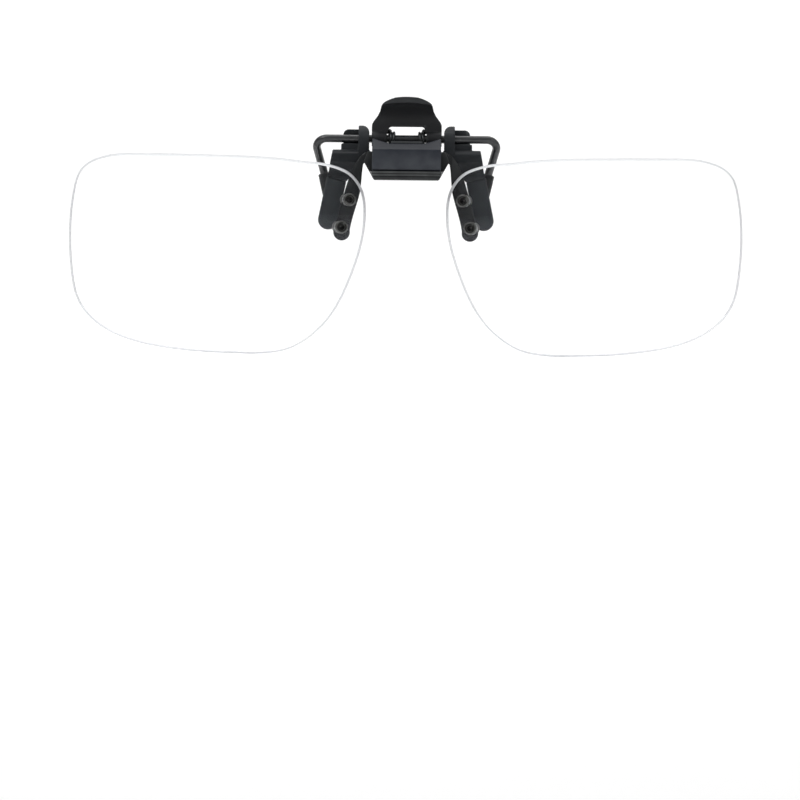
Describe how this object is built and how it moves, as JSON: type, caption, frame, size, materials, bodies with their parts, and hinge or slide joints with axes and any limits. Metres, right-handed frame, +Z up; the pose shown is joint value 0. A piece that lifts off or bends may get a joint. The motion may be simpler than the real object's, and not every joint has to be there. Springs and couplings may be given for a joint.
{
  "type": "clip on flip lenses",
  "caption": "Sprung clip with padded wire jaws and a thumb lever that hangs a pair of rimless clear lenses in front of glasses; the lenses flip up on a hinge.",
  "frame": {"origin": "middle of the jaw: halfway between the two front pads, on the plane that their rear faces grip with", "axes": "+X is the viewer's right from the front and runs along the lenses, +Y goes back towards the wearer, +Z is up"},
  "size_m": [0.1358, 0.0157, 0.052],
  "materials": {
    "housing_plastic": "satin moulded",
    "yoke_plastic": "satin moulded",
    "base_plastic": "satin moulded, finely textured ears",
    "lever_plastic": "semi-gloss moulded",
    "pad_rubber": "matte rubber",
    "sleeve_rubber": "matte rubber tube",
    "wire_black": "black coated wire, satin",
    "spring_steel": "blackened spring steel",
    "pin_steel": "plain steel",
    "rivet_metal": "dark plated, satin",
    "bushing_clear": "clear nylon",
    "lens_clear": "clear, with a faint violet anti-reflection coating"
  },
  "bodies": {
    "clip_base": {"clip_base": "base_plastic", "front_pad_left": "pad_rubber", "front_pad_right": "pad_rubber", "torsion_spring": "spring_steel"},
    "jaw": {"jaw_wire": "wire_black", "thumb_lever": "lever_plastic", "rear_sleeve_left": "sleeve_rubber", "rear_sleeve_right": "sleeve_rubber"},
    "flip": {"flip_housing": "housing_plastic", "lens_yoke": "yoke_plastic", "flip_pin": "pin_steel", "detent_spring": "spring_steel", "lens_left": "lens_clear", "lens_right": "lens_clear", "lens_rivet_upper_left": "rivet_metal", "lens_rivet_upper_right": "rivet_metal", "lens_rivet_lower_left": "rivet_metal", "lens_rivet_lower_right": "rivet_metal", "lens_bushing_upper_left": "bushing_clear", "lens_bushing_upper_right": "bushing_clear", "lens_bushing_lower_left": "bushing_clear", "lens_bushing_lower_right": "bushing_clear", "front_washer_upper_left": "bushing_clear", "front_washer_upper_right": "bushing_clear", "front_washer_lower_left": "bushing_clear", "front_washer_lower_right": "bushing_clear", "back_washer_upper_left": "rivet_metal", "back_washer_upper_right": "rivet_metal", "back_washer_lower_left": "rivet_metal", "back_washer_lower_right": "rivet_metal"}
  },
  "joints": [
    {"name": "flip_hinge", "type": "hinge", "parent": "clip_base", "child": "flip", "pos_m": [0, -0.0087, 0.01145], "axis": [-1, 0, 0], "range_deg": [0, 90], "deforming": ["detent_spring"]},
    {"name": "jaw_hinge", "type": "hinge", "parent": "clip_base", "child": "jaw", "pos_m": [0, -0.0025, 0.01305], "axis": [1, 0, 0], "range_deg": [0, 35], "stiffness_Nm_per_rad": 0.0214, "springref_deg": -53.29, "deforming": ["torsion_spring"]}
  ]
}
